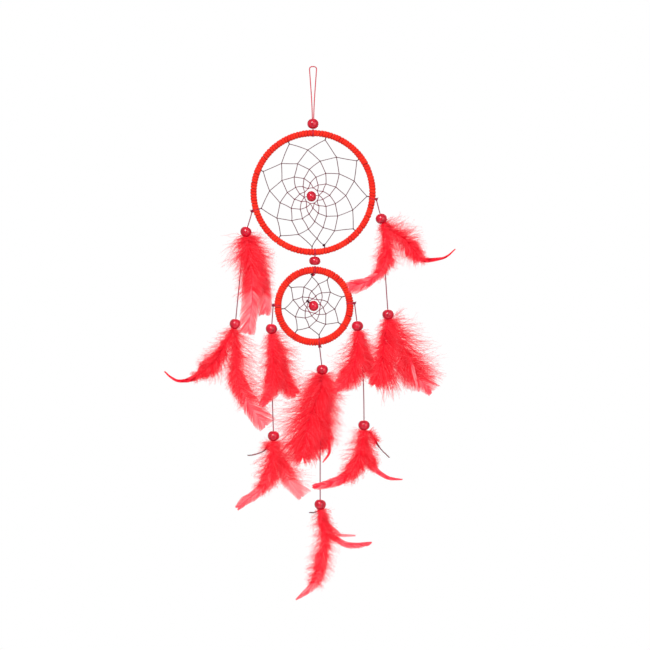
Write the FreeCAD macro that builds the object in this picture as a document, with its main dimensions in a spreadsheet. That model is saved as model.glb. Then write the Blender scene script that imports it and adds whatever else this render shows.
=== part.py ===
import FreeCAD
import Part
import Sketcher
import math
import os

# Hanging dream catcher: two wrapped hoops with thread webs, joined by a bead, and five
# strands with two beads and two bunches of feathers each.
#
# Frame: millimetres, +X right, +Y back, +Z up. The origin is the top of the hanging loop,
# where the hook holds it. Both hoops stand in the XZ plane.

VECTOR = FreeCAD.Vector
FORWARD = VECTOR(0, 1, 0)

doc = FreeCAD.newDocument("DreamCatcher")

# ---------------------------------------------------------------- driving dimensions
DIMENSIONS = {
    "large_ring_radius": 52.15,  # centre line of the large hoop
    "large_section": 2.85,  # radius of its wrapped section
    "large_ring_drop": 111.0,  # its centre below the hook
    "small_ring_radius": 31.6,
    "small_section": 3.2,
    "small_ring_drop": 210.5,
    "small_ring_shift": 0.8,  # its centre to the right of the hook
    "wire_radius": 1.25,  # steel wire inside each hoop
    "bead_radius": 5.1,
    "bead_height": 9.0,
    "web_bead_radius": 4.7,  # smaller, to sit inside the ring that closes a web
    "web_bead_height": 8.6,
    "link_bead_height": 7.6,  # flatter, to fit between the hoops
    "loose_bore": 1.2,  # bore of a bead that slides or spins on its thread
    "top_bead_drop": 50.6,
    "link_bead_drop": 170.8,
    "link_shift": 1.6,
    "cord_radius": 0.45,
    "turn_radius": 0.35,  # flattened thread where it goes round a hoop
    "bridge_radius": 0.27,  # the thread that crosses from one turn to the next
    "turn_gap": 0.1,  # round a turn that swings on its hoop
    "knot_radius": 1.0,
    "web_radius": 0.3,
    "web_knot_radius": 0.65,
    "loop_half_width": 3.25,  # half the hook's width at the top of the hanging loop
    "strand_half_gap": 0.5,  # between the two strands that pass through the top bead
    "loop_split_drop": 38.95,  # where the two strands come together
    "feather_thickness": 6.0,
    "feather_layer": 0.75,  # from the strand's plane to the near face of a feather
    "clearance": 0.3,  # between pieces on different bodies
}

sheet = doc.addObject("Spreadsheet::Sheet", "Sizes")
for row, (alias, value) in enumerate(DIMENSIONS.items(), start=1):
    sheet.set(f"A{row}", alias)
    sheet.set(f"B{row}", str(value))
    sheet.setAlias(f"B{row}", alias)
doc.recompute()


def size(alias):
    """The value of one cell of the sheet, in mm."""
    return float(getattr(sheet, alias))


LARGE_CENTRE = VECTOR(0, 0, -size("large_ring_drop"))
SMALL_CENTRE = VECTOR(size("small_ring_shift"), 0, -size("small_ring_drop"))

# ---------------------------------------------------------------- what hangs where
# Each strand: the hoop that it is tied to, the angle of its knot (degrees from +X), the
# centre of its upper bead, a point that the lower cord bends at, and the lower bead.
STRANDS = {
    "large_left": ("large", 197, (-58.7, -145.3), (-64.4, -187.0), (-68.1, -226.1)),
    "large_right": ("large", -6, (59.9, -133.8), (62.9, -177.0), (65.8, -217.8)),
    "small_left": ("small", 179, (-36.4, -230.4), (-36.2, -279.0), (-34.6, -324.3)),
    "small_right": ("small", 4, (39.0, -227.9), (44.9, -271.5), (44.7, -314.9)),
    "small_centre": ("small", -82, (8.1, -266.1), (5.9, -326.5), (6.3, -384.4)),
}

# Feathers hang under the beads. Each has the side of the strand's plane that it lies on
# (-1 front, 1 back) and its shaft, from the bead to the tip, as (x, z, half width).
FEATHERS = {
    "large_left_upper_feather_1": (
        -1,
        [(-57.9, -151.9, 0.8), (-57.4, -170, 8), (-57, -196, 8), (-57.4, -218, 4.6), (-57.9, -235, 0)],
    ),
    "large_left_upper_feather_2": (
        1,
        [(-57.0, -151.9, 0.8), (-51.7, -174.5, 5.5), (-47.6, -196, 4.6), (-44.9, -215, 0)],
    ),
    "large_left_lower_feather_1": (
        -1,
        [
            (-69.2, -231, 0.8),
            (-76.7, -244, 6),
            (-84.7, -257, 8),
            (-94.9, -267, 6),
            (-105.9, -274, 2.6),
            (-116.7, -276, 1.8),
            (-124, -273, 1.3),
            (-130.2, -267.5, 0),
        ],
    ),
    "large_left_lower_feather_2": (
        1,
        [(-68.4, -231, 0.8), (-65.5, -252, 8), (-62.5, -279, 10), (-56.5, -297, 7), (-47.8, -311, 0)],
    ),
    "small_left_upper_feather_1": (
        -1,
        [(-36.3, -236.6, 0.8), (-34.6, -260, 6), (-37.4, -282, 5), (-43.8, -296, 0)],
    ),
    "small_left_upper_feather_2": (
        1,
        [(-35.6, -236.6, 0.8), (-29, -256, 5.5), (-26.4, -274, 4), (-23, -287, 0)],
    ),
    "large_right_upper_feather_1": (
        1,
        [
            (62, -139.9, 0.8),
            (70, -146, 5),
            (80.5, -153, 7),
            (89.5, -164, 4.5),
            (98, -170.3, 2.2),
            (110.5, -169.3, 1.6),
            (118, -166.5, 1.2),
            (125.4, -160.5, 0),
        ],
    ),
    "large_right_upper_feather_2": (
        -1,
        [
            (61.6, -139.9, 0.8),
            (64.6, -156, 5),
            (62.2, -172, 5.5),
            (55.5, -185, 5.5),
            (46.5, -190.5, 4),
            (39.6, -193.5, 0),
        ],
    ),
    "large_right_lower_feather_1": (
        1,
        [(66, -222.6, 0.8), (63.5, -244, 5), (60.4, -261, 4.5), (54.6, -280, 0)],
    ),
    "large_right_lower_feather_2": (
        -1,
        [(66.9, -222.6, 0.8), (79, -239, 9), (87.5, -256, 11), (95, -272, 9), (105.5, -286, 0)],
    ),
    "small_right_upper_feather_1": (
        -1,
        [(39.4, -234.1, 0.8), (39.2, -250, 5.5), (34, -266.6, 5), (26.8, -277, 3), (20, -283.5, 0)],
    ),
    "small_right_upper_feather_2": (
        1,
        [(40.2, -234.1, 0.8), (42.6, -248, 4.5), (46.4, -259, 3), (50.3, -266.6, 0)],
    ),
    "small_centre_upper_feather_1": (
        -1,
        [(8, -272.3, 0.8), (2, -286, 9), (-4, -305, 13), (-7, -327, 10), (-8.8, -347, 0)],
    ),
    "small_centre_upper_feather_2": (
        1,
        [(9, -272.3, 0.8), (9.6, -290, 6), (10, -310, 7), (11, -330, 5.5), (9.6, -349, 0)],
    ),
    "small_left_lower_feather_1": (
        -1,
        [
            (-35, -329.2, 0.8),
            (-35.8, -349, 6),
            (-41, -364.5, 5),
            (-49, -373.5, 4.2),
            (-58, -380, 3.4),
            (-65.8, -386.8, 0),
        ],
    ),
    "small_left_lower_feather_2": (
        1,
        [(-34, -329.2, 0.8), (-27.5, -347, 5), (-22.6, -360, 5), (-18, -368, 4.6), (-10, -376.5, 0)],
    ),
    "small_right_lower_feather_1": (
        -1,
        [
            (44.2, -319.5, 0.8),
            (41, -340, 5.5),
            (35.3, -352.6, 4.6),
            (27.5, -360, 3.8),
            (18.9, -364, 3),
            (9.4, -366.8, 0),
        ],
    ),
    "small_right_lower_feather_2": (
        1,
        [
            (45.2, -319.5, 0.8),
            (47.2, -340, 4.5),
            (52, -349.5, 3.2),
            (60, -358.5, 2.4),
            (69, -362, 2),
            (78.6, -362.8, 0),
        ],
    ),
    "small_centre_lower_feather_1": (
        -1,
        [
            (6.4, -389, 0.8),
            (9.6, -408, 7),
            (9.6, -421, 8),
            (6.6, -437, 7.5),
            (1.8, -451, 5),
            (-5, -460, 3.4),
            (-14.9, -467.4, 0),
        ],
    ),
    "small_centre_lower_feather_2": (
        1,
        [
            (7.2, -389, 0.8),
            (13, -405, 3.4),
            (21.9, -415.7, 2.4),
            (33, -419.9, 2.4),
            (44, -419.4, 1.8),
            (51.4, -417.9, 0),
        ],
    ),
}

# The webs: the angle of each stitch on the hoop, the distance of its corner from the
# hoop's centre, the point that the web closes round, and how far each row is pulled in.
WEBS = {
    "large": (
        (157, 116, 77, 36, -4, -42, -78, -91, -127, -163),
        47.4,
        VECTOR(-1.8, 0, -2.6),
        (0.15, 0.18, 0.21, 0.24, 0.29, 0.34),
    ),
    "small": (
        (141, 94, 63, 18, -34, -80, -125, -175),
        25.7,
        VECTOR(-0.3, 0, -0.4),
        (0.2, 0.26, 0.27, 0.22),
    ),
}

nodes = {}
pivots = {}


# ---------------------------------------------------------------- general helpers
def along_y_turn(angle):
    """Rotation in the hoops' plane that takes local +X to the direction at this angle."""
    return FreeCAD.Rotation(FORWARD, -angle)


def direction(angle):
    """Unit vector in the hoops' plane at this angle from +X."""
    return VECTOR(math.cos(math.radians(angle)), 0, math.sin(math.radians(angle)))


def keep(name, obj):
    """Label one document object as a sub-part."""
    obj.Label = name
    nodes[name] = obj
    return obj


def route_wire(points):
    """Straight runs joined by tangent arcs, each 0.45 of its shorter run back from the corner."""
    edges = []
    start = points[0]
    for before, corner, after in zip(points, points[1:], points[2:]):
        back = before - corner
        ahead = after - corner
        setback = 0.45 * min(back.Length, ahead.Length)
        turn = math.pi - back.getAngle(ahead)
        radius = setback / math.tan(turn / 2)
        entry = corner + back.normalize() * setback
        leave = corner + ahead.normalize() * setback
        inward = (entry + leave) * 0.5 - corner
        depth = inward.Length
        to_centre = math.hypot(setback, radius)
        middle = corner + inward * ((to_centre - radius) / depth)
        edges.append(Part.LineSegment(start, entry).toShape())
        edges.append(Part.Arc(entry, middle, leave).toShape())
        start = leave
        print(f"  arc radius {radius:.2f} mm, {radius / (2 * size('cord_radius')):.1f} diameters")
    edges.append(Part.LineSegment(start, points[-1]).toShape())
    return Part.Wire(edges)


def swept_cord(name, points):
    """A round cord along a route: a circle swept along straight runs and arcs."""
    print(name)
    route = doc.addObject("Part::Feature", name + "_route")
    route.Shape = route_wire(points)
    section = doc.addObject("Part::Circle", name + "_section")
    section.setExpression("Radius", "Sizes.cord_radius")
    heading = FreeCAD.Rotation(VECTOR(0, 0, 1), points[1] - points[0])
    section.Placement = FreeCAD.Placement(points[0], heading)
    sweep = doc.addObject("Part::Sweep", name + "_sweep")
    sweep.Sections = [section]
    sweep.Spine = (route, [f"Edge{i + 1}" for i in range(len(route.Shape.Edges))])
    sweep.Solid = True
    doc.recompute()
    expected = math.pi * size("cord_radius") ** 2 * route.Shape.Length
    print(f"  length {route.Shape.Length:.1f} mm, volume {sweep.Shape.Volume:.2f}, expected {expected:.2f}")
    return sweep


def cord(name, points):
    """A cord that is a sub-part by itself."""
    return keep(name, swept_cord(name, points))


# ---------------------------------------------------------------- sub-parts
def torus(name, ring_alias, section_expression, centre):
    """A ring standing in the XZ plane."""
    ring = doc.addObject("Part::Torus", name)
    ring.setExpression("Radius1", "Sizes." + ring_alias)
    ring.setExpression("Radius2", section_expression)
    ring.Placement = FreeCAD.Placement(centre, FreeCAD.Rotation(VECTOR(1, 0, 0), 90))
    return ring


def hoop(which, centre):
    """The steel wire ring, and the lace wrapped round it, which fits it face to face."""
    wire = torus(which + "_wire", which + "_ring_radius", "Sizes.wire_radius", centre)
    keep(which + "_hoop_core", wire)
    outside = torus(which + "_outside", which + "_ring_radius", f"Sizes.{which}_section", centre)
    inside = torus(which + "_inside", which + "_ring_radius", "Sizes.wire_radius", centre)
    wrap = doc.addObject("Part::Cut", which + "_wrap")
    wrap.Base = outside
    wrap.Tool = inside
    keep(which + "_hoop_wrap", wrap)


def bead(name, centre, axis, kind="bead", height_alias="bead_height", bore_alias="cord_radius"):
    """A round bead with flat mouths, turned about its bore from a half section."""
    body = doc.addObject("PartDesign::Body", name + "_body")
    plane = [f for f in body.Origin.OriginFeatures if f.Role == "XZ_Plane"][0]
    sketch = body.newObject("Sketcher::SketchObject", name + "_half_section")
    sketch.AttachmentSupport = [(plane, "")]
    sketch.MapMode = "FlatFace"
    radius = size(kind + "_radius")
    half = size(height_alias) / 2
    bore = size(bore_alias)
    bottom = VECTOR(bore, -half, 0)
    top = VECTOR(bore, half, 0)
    wall = sketch.addGeometry(Part.LineSegment(bottom, top), False)
    crown = sketch.addGeometry(Part.Arc(bottom, VECTOR(radius, 0, 0), top), False)
    sketch.addConstraint(Sketcher.Constraint("Coincident", crown, 1, wall, 1))
    sketch.addConstraint(Sketcher.Constraint("Coincident", crown, 2, wall, 2))
    sketch.addConstraint(Sketcher.Constraint("Vertical", wall))
    bore_rule = sketch.addConstraint(Sketcher.Constraint("DistanceX", -1, 1, wall, 1, bore))
    upper = sketch.addConstraint(Sketcher.Constraint("DistanceY", -1, 1, wall, 2, half))
    lower = sketch.addConstraint(Sketcher.Constraint("DistanceY", wall, 1, -1, 1, half))
    rise = radius - bore
    crown_radius = (rise**2 + half**2) / (2 * rise)
    curve = sketch.addConstraint(Sketcher.Constraint("Radius", crown, crown_radius))
    cell = {"bore": "Sizes." + bore_alias, "height": "Sizes." + height_alias}
    cell["rise"] = f"(Sizes.{kind}_radius - {cell['bore']})"
    sketch.setExpression(f"Constraints[{bore_rule}]", cell["bore"])
    sketch.setExpression(f"Constraints[{upper}]", cell["height"] + " / 2")
    sketch.setExpression(f"Constraints[{lower}]", cell["height"] + " / 2")
    sketch.setExpression(
        f"Constraints[{curve}]",
        f"({cell['rise']} ^ 2 + {cell['height']} ^ 2 / 4) / (2 * {cell['rise']})",
    )
    turned = body.newObject("PartDesign::Revolution", name + "_turned")
    turned.Profile = sketch
    turned.ReferenceAxis = (sketch, ["V_Axis"])
    turned.Angle = 360
    sketch.Visibility = False
    body.Placement = FreeCAD.Placement(centre, FreeCAD.Rotation(VECTOR(0, 0, 1), axis))
    return keep(name, body)


def turns(name, which, gap):
    """Two turns of thread round a hoop's section, side by side, about the local Z axis."""
    pieces = []
    for side in (-1, 1):
        turn = doc.addObject("Part::Torus", f"{name}_turn")
        turn.setExpression("Radius1", f"Sizes.{which}_section + {gap} + Sizes.turn_radius")
        turn.setExpression("Radius2", "Sizes.turn_radius")
        turn.setExpression(".Placement.Base.z", f"{side} * Sizes.strand_half_gap")
        pieces.append(turn)
    return pieces


def bridge(name, which, gap):
    """The short stretch of thread that joins the two turns outside the hoop."""
    across = doc.addObject("Part::Cylinder", name + "_bridge")
    across.setExpression("Radius", "Sizes.bridge_radius")
    across.setExpression("Height", "2 * Sizes.strand_half_gap")
    across.setExpression(".Placement.Base.x", f"Sizes.{which}_section + {gap} + Sizes.turn_radius")
    across.setExpression(".Placement.Base.z", "-Sizes.strand_half_gap")
    return across


def tied_thread(name, which, centre, angle, pieces):
    """Fuse pieces made about a hoop's section, and carry them to that angle of the hoop."""
    joined = doc.addObject("Part::MultiFuse", name + "_thread")
    joined.Shapes = pieces
    at = centre + direction(angle) * size(which + "_ring_radius")
    joined.Placement = FreeCAD.Placement(at, along_y_turn(angle))
    return joined


def hitch(name, which, centre, angle):
    """Two turns tied tight round a hoop, and the knot outside them."""
    knot = doc.addObject("Part::Sphere", name + "_knot")
    knot.setExpression("Radius", "Sizes.knot_radius")
    knot.setExpression(".Placement.Base.x", f"Sizes.{which}_section + Sizes.knot_radius")
    pieces = turns(name, which, "0") + [knot]
    return keep(name, tied_thread(name, which, centre, angle, pieces))


def knot_centre(which, centre, angle):
    """Centre of the knot outside a hoop at this angle."""
    reach = size(which + "_ring_radius") + size(which + "_section") + size("knot_radius")
    return centre + direction(angle) * reach


def feather(name, side, shaft):
    """A flat blade: an outline round the shaft, extruded to the feather's thickness."""
    points = [VECTOR(x, 0, z) for x, z, _ in shaft]
    left = []
    right = []
    for i, point in enumerate(points):
        ahead = points[min(i + 1, len(points) - 1)] - points[max(i - 1, 0)]
        sideways = VECTOR(ahead.z, 0, -ahead.x).normalize()
        half = shaft[i][2]
        left.append(point + sideways * half)
        right.append(point - sideways * half)
    left_edge = Part.BSplineCurve()
    left_edge.interpolate(left)
    right_edge = Part.BSplineCurve()
    right_edge.interpolate(right)
    base = Part.LineSegment(right[0], left[0])
    outline = doc.addObject("Part::Feature", name + "_outline")
    outline.Shape = Part.Wire([left_edge.toShape(), right_edge.toShape(), base.toShape()])
    blade = doc.addObject("Part::Extrusion", name + "_blade")
    blade.Base = outline
    blade.DirMode = "Custom"
    blade.Dir = FORWARD * side
    blade.setExpression("LengthFwd", "Sizes.feather_thickness")
    blade.Solid = True
    blade.setExpression(".Placement.Base.y", f"{side} * Sizes.feather_layer")
    return keep(name, blade)


def strand(name, which, centre, angle, upper_at, bend_at, lower_at):
    """A thread tied to a hoop, with two beads; it bends at the knot and under the upper bead."""
    half = size("bead_height") / 2
    gap = size("clearance")
    hitch(name + "_hitch", which, centre, angle)
    knot = knot_centre(which, centre, angle)
    down = VECTOR(0, 0, -1)
    start = knot + down * (size("knot_radius") + gap)
    upper = VECTOR(upper_at[0], 0, upper_at[1])
    bend = VECTOR(bend_at[0], 0, bend_at[1])
    lower = VECTOR(lower_at[0], 0, lower_at[1])
    upper_line = (upper - start).normalize()
    upper_end = upper + upper_line * half
    cord(name + "_upper_cord", [start, upper_end])
    bead(name + "_upper_bead", upper, upper_line)
    lower_start = upper_end + upper_line * gap
    lower_line = (lower - bend).normalize()
    lower_end = lower + lower_line * half
    cord(name + "_lower_cord", [lower_start, bend, lower_end])
    bead(name + "_lower_bead", lower, lower_line)
    pivots[name + "_swing"] = knot + down * (size("knot_radius") + gap / 2)
    pivots[name + "_bend"] = upper_end + upper_line * (gap / 2)


def web_rows(angles, reach, centre, middle, pulls):
    """The web's corners, row by row: each lies between two of the row before, pulled in."""
    rows = [[centre + direction(a) * reach for a in angles]]
    for pull in pulls:
        last = rows[-1]
        row = []
        for i, corner in enumerate(last):
            between = (corner + last[(i + 1) % len(last)]) * 0.5
            row.append(between + (centre + middle - between) * pull)
        rows.append(row)
    return rows


def thread_between(start, end, radius):
    """One straight stretch of web thread."""
    return Part.makeCylinder(radius, (end - start).Length, start, end - start)


def web(name, which, centre):
    """One thread: a stem to the hoop at each stitch, knotted rows, and a closing ring."""
    angles, reach, middle, pulls = WEBS[which]
    radius = size("web_radius")
    rows = web_rows(angles, reach, centre, middle, pulls)
    stem_end = size(which + "_ring_radius") - size(which + "_section") + radius
    pieces = []
    for angle, corner in zip(angles, rows[0]):
        pieces.append(thread_between(corner, centre + direction(angle) * stem_end, radius))
    for outer, inner in zip(rows, rows[1:]):
        for i, corner in enumerate(inner):
            pieces.append(thread_between(outer[i], corner, radius))
            pieces.append(thread_between(outer[(i + 1) % len(outer)], corner, radius))
    ring = rows[-1]
    for i, corner in enumerate(ring):
        pieces.append(thread_between(corner, ring[(i + 1) % len(ring)], radius))
    half_turn = len(ring) // 2
    first = max(range(len(ring)), key=lambda i: abs((ring[i] - ring[(i + half_turn) % len(ring)]).x))
    near = ring[first]
    far = ring[(first + half_turn) % len(ring)]
    pieces.append(thread_between(near, far, radius))
    for row in rows:
        for corner in row:
            pieces.append(Part.makeSphere(size("web_knot_radius"), corner))
    solid = doc.addObject("Part::Feature", name + "_thread")
    solid.Shape = pieces[0].fuse(pieces[1:]).Solids[0]
    keep(name, solid)
    middle_point = (near + far) * 0.5
    bead(name + "_bead", middle_point, far - near, "web_bead", "web_bead_height", "loose_bore")
    pivots[name + "_bead_spin"] = (near + far) * 0.5
    pivots[name + "_bead_spin_axis"] = (far - near).normalize()


# ---------------------------------------------------------------- the object
split = size("loop_split_drop")
half_gap = size("strand_half_gap")
half_loop = size("loop_half_width")
clear = size("clearance")
cord(
    "hanging_loop",
    [
        VECTOR(-half_gap, 0, clear / 2 - split),
        VECTOR(-half_loop, 0, -size("cord_radius")),
        VECTOR(half_loop, 0, -size("cord_radius")),
        VECTOR(half_gap, 0, clear / 2 - split),
    ],
)
ring_top = LARGE_CENTRE + VECTOR(0, 0, size("large_ring_radius"))
turn_reach = size("large_section") + size("turn_gap") + size("turn_radius")
top_turns = turns("top", "large", "Sizes.turn_gap") + [bridge("top", "large", "Sizes.turn_gap")]
hanger_pieces = [tied_thread("top", "large", LARGE_CENTRE, 90, top_turns)]
for side_name, side in (("left", -1), ("right", 1)):
    offset = VECTOR(side * half_gap, 0, 0)
    ends = [VECTOR(0, 0, -split - clear / 2) + offset, ring_top + VECTOR(0, 0, turn_reach) + offset]
    hanger_pieces.append(swept_cord("hanger_" + side_name, ends))
hanger = doc.addObject("Part::MultiFuse", "hanger_thread")
hanger.Shapes = hanger_pieces
keep("hanger_cord", hanger)
bead("top_bead", VECTOR(0, 0, -size("top_bead_drop")), VECTOR(0, 0, 1), bore_alias="loose_bore")
pivots["hanger_turn"] = VECTOR(0, 0, -split)
pivots["large_hoop_nod"] = ring_top

hoop("large", LARGE_CENTRE)
web("large_web", "large", LARGE_CENTRE)

link_angle = -90 + math.degrees(math.asin(size("link_shift") / size("large_ring_radius")))
link_pivot = LARGE_CENTRE + direction(link_angle) * size("large_ring_radius")
link_at = VECTOR(size("link_shift"), 0, -size("link_bead_drop"))
link_end = link_at - VECTOR(0, 0, size("link_bead_height") / 2)
link_start = VECTOR(link_at.x, 0, link_pivot.z - turn_reach)
link_turns = turns("link", "large", "Sizes.turn_gap") + [bridge("link", "large", "Sizes.turn_gap")]
link = doc.addObject("Part::MultiFuse", "link_thread")
link.Shapes = [
    tied_thread("link", "large", LARGE_CENTRE, link_angle, link_turns),
    swept_cord("link_stem", [link_start, link_end]),
]
keep("link_cord", link)
bead("link_bead", link_at, VECTOR(0, 0, 1), height_alias="link_bead_height")
pivots["link_swing"] = link_pivot
pivots["small_hoop_turn"] = link_end - VECTOR(0, 0, clear / 2)

hoop("small", SMALL_CENTRE)
small_offset = size("link_shift") - size("small_ring_shift")
small_top = 90 - math.degrees(math.asin(small_offset / size("small_ring_radius")))
small_turns = turns("small_top", "small", "0") + [bridge("small_top", "small", "0")]
keep("small_hoop_hitch", tied_thread("small_top", "small", SMALL_CENTRE, small_top, small_turns))
web("small_web", "small", SMALL_CENTRE)

for strand_name, (which, angle, *beads_at) in STRANDS.items():
    hoop_centre = LARGE_CENTRE if which == "large" else SMALL_CENTRE
    strand(strand_name, which, hoop_centre, angle, *beads_at)

for feather_name, (side, shaft) in FEATHERS.items():
    feather(feather_name, side, shaft)

# ---------------------------------------------------------------- checks and files
doc.recompute()
for obj in doc.Objects:
    if "Invalid" in obj.State or "Error" in obj.State:
        raise RuntimeError(f"{obj.Label} did not recompute: {obj.State}")
os.makedirs("parts", exist_ok=True)
for name, obj in nodes.items():
    shape = obj.Shape
    if shape.isNull() or not shape.isValid() or len(shape.Solids) != 1:
        raise RuntimeError(f"{name} has no single valid solid")
for name, obj in nodes.items():
    obj.Shape.exportStep(f"parts/{name}.step")
for name, at in pivots.items():
    print(f"pivot {name} {at.x:.3f} {at.y:.3f} {at.z:.3f}")
print(f"{len(nodes)} sub-parts")
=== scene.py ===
import math

import bpy
import numpy as np
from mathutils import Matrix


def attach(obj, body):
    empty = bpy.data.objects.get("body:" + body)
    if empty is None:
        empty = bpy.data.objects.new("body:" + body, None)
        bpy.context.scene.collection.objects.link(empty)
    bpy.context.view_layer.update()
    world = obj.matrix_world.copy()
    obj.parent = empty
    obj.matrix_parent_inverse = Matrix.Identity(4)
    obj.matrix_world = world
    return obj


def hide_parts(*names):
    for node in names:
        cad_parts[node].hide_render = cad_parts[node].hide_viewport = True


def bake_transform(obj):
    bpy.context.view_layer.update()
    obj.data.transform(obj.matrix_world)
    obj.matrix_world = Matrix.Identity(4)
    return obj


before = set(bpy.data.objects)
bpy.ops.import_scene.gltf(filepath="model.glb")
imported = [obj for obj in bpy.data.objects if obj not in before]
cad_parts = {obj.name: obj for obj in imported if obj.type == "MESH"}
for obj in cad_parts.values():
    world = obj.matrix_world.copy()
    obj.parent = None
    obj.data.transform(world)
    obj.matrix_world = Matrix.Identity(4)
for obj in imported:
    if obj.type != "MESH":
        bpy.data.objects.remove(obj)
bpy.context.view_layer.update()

# A hanging dream catcher with wrapped hoops, thread webs, beads and feathers.
# Sizes and places are in millimetres, in the row frame: +X right, +Y back, +Z up.
MM = 0.001
FRONT = np.array([0.0, -1.0, 0.0])

# ------------------------------------------------------------------ sizes, as in the frame
LARGE = {"centre": (0.0, -111.0), "ring": 52.15, "section": 2.85}
SMALL = {"centre": (0.8, -210.5), "ring": 31.6, "section": 3.2}
WIRE_RADIUS = 1.25
BEAD_RADIUS = 5.1
BEAD_HEIGHT = 9.0
WEB_BEAD_RADIUS = 4.7
WEB_BEAD_HEIGHT = 8.6
LINK_BEAD_HEIGHT = 7.6
LOOSE_BORE = 1.2
TOP_BEAD_Z = -50.6
LINK_X = 1.6
LINK_BEAD_Z = -170.8
LINK_TOP = -166.3
LINK_END = -174.6
CORD_DIAMETER = 0.9
TURN_RADIUS = 0.33
KNOT_REACH = 1.0
STRAND_HALF_GAP = 0.5
WEB_RADIUS = 0.35
PLY_VALLEY = 0.93  # radius of a twisted thread between its plies, as a share
PLY_RISE = 0.13  # how much more it is on the crown of a ply

# Each strand: its hoop, the angle of its knot, and its route down from the knot: the
# centre of the upper bead, the bend below it, and the centre of the lower bead.
STRANDS = {
    "large_left": (LARGE, 197, (-58.7, -145.3), (-64.4, -187.0), (-68.1, -226.1)),
    "large_right": (LARGE, -6, (59.9, -133.8), (62.9, -177.0), (65.8, -217.8)),
    "small_left": (SMALL, 179, (-36.4, -230.4), (-36.2, -279.0), (-34.6, -324.3)),
    "small_right": (SMALL, 4, (39.0, -227.9), (44.9, -271.5), (44.7, -314.9)),
    "small_centre": (SMALL, -82, (8.1, -266.1), (5.9, -326.5), (6.3, -384.4)),
}

# The webs: stitch angles, how far out the corners of the first row lie, the point that
# the rows close round, and how far each row is pulled in.
WEBS = {
    "large": (
        (157, 116, 77, 36, -4, -42, -78, -91, -127, -163),
        47.4,
        (-1.8, -2.6),
        (0.15, 0.18, 0.21, 0.24, 0.29, 0.34),
    ),
    "small": (
        (141, 94, 63, 18, -34, -80, -125, -175),
        25.7,
        (-0.3, -0.4),
        (0.2, 0.26, 0.27, 0.22),
    ),
}

# Larger knots where each web's thread starts and ends, as (x, z, size).
WEB_KNOTS = {
    "large": ((9.6, -157.2, 1.0),),
    "small": ((-4.9, -206.0, 0.95), (-3.6, -207.2, 0.8), (-0.9, -182.6, 1.0)),
}


# ------------------------------------------------------------------ mesh helpers
class Soup:
    """Vertices, triangles and quads of one piece, gathered part by part."""

    def __init__(self):
        self.points = []
        self.faces = {3: [], 4: []}
        self.values = []
        self.count = 0

    def add(self, points, *face_sets, value=0.0):
        """Add points and the faces between them; value is kept at each point as its shade."""
        points = np.asarray(points, float).reshape(-1, 3)
        self.points.append(points)
        self.values.append(np.broadcast_to(np.asarray(value, float), (len(points),)))
        for faces in face_sets:
            faces = np.asarray(faces)
            self.faces[faces.shape[1]].append(faces + self.count)
        self.count += len(points)

    def piece(self, name, material, slot, smooth=True):
        """Turn what was gathered into a mesh object."""
        mesh = bpy.data.meshes.new(name)
        quads = np.concatenate([np.zeros((0, 4), int)] + self.faces[4])
        tris = np.concatenate([np.zeros((0, 3), int)] + self.faces[3])
        corners = np.concatenate([quads.ravel(), tris.ravel()]).astype(np.int32)
        starts = np.concatenate([np.arange(len(quads)) * 4, len(quads) * 4 + np.arange(len(tris)) * 3])
        mesh.vertices.add(self.count)
        mesh.vertices.foreach_set("co", (np.concatenate(self.points) * MM).ravel())
        mesh.loops.add(len(corners))
        mesh.loops.foreach_set("vertex_index", corners)
        mesh.polygons.add(len(starts))
        mesh.polygons.foreach_set("loop_start", starts.astype(np.int32))
        mesh.polygons.foreach_set("use_smooth", np.full(len(starts), smooth))
        mesh.update(calc_edges=True)
        mesh.validate()
        shade = mesh.attributes.new("shade", "FLOAT", "POINT")
        shade.data.foreach_set("value", np.concatenate(self.values))
        mesh.materials.append(material)
        obj = bpy.data.objects.new(name, mesh)
        bpy.context.scene.collection.objects.link(obj)
        return obj


def unit(vectors):
    """Vectors scaled to length one."""
    vectors = np.asarray(vectors, float)
    return vectors / np.maximum(np.linalg.norm(vectors, axis=-1, keepdims=True), 1e-9)


def smooth_line(points, step):
    """A smooth curve through the points, resampled evenly."""
    points = np.asarray(points, float)
    padded = np.vstack([2 * points[0] - points[1], points, 2 * points[-1] - points[-2]])
    t = np.linspace(0, 1, 16, endpoint=False)[:, None]
    parts = []
    for a, b, c, d in zip(padded, padded[1:], padded[2:], padded[3:]):
        curve = 2 * b + (c - a) * t + (2 * a - 5 * b + 4 * c - d) * t**2
        curve = curve + (3 * b - a - 3 * c + d) * t**3
        parts.append(0.5 * curve)
    return even_line(np.vstack(parts + [points[-1:]]), step)


def even_line(line, step):
    """The same line with its points about this far apart."""
    along = np.concatenate([[0], np.cumsum(np.linalg.norm(np.diff(line, axis=0), axis=1))])
    count = max(3, int(round(along[-1] / step)) + 1)
    at = np.linspace(0, along[-1], count)
    return np.stack([np.interp(at, along, line[:, k]) for k in range(3)], axis=1)


def side_vectors(line, first):
    """A vector square to the line at each point, carried along without twisting."""
    heading = unit(np.gradient(line, axis=0))
    side = np.zeros_like(line)
    current = np.asarray(first, float)
    for i, ahead in enumerate(heading):
        current = unit(current - ahead * (current @ ahead))
        side[i] = current
    return heading, side


def ring_faces(rings, sides, closed):
    """Quads between rings of a tube; a closed tube joins its last ring to its first."""
    i = np.arange(rings if closed else rings - 1)[:, None]
    j = np.arange(sides)[None, :]
    after = (i + 1) % rings
    beside = (j + 1) % sides
    corners = (i * sides + j, i * sides + beside, after * sides + beside, after * sides + j)
    return np.stack(np.broadcast_arrays(*corners), -1).reshape(-1, 4)


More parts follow.
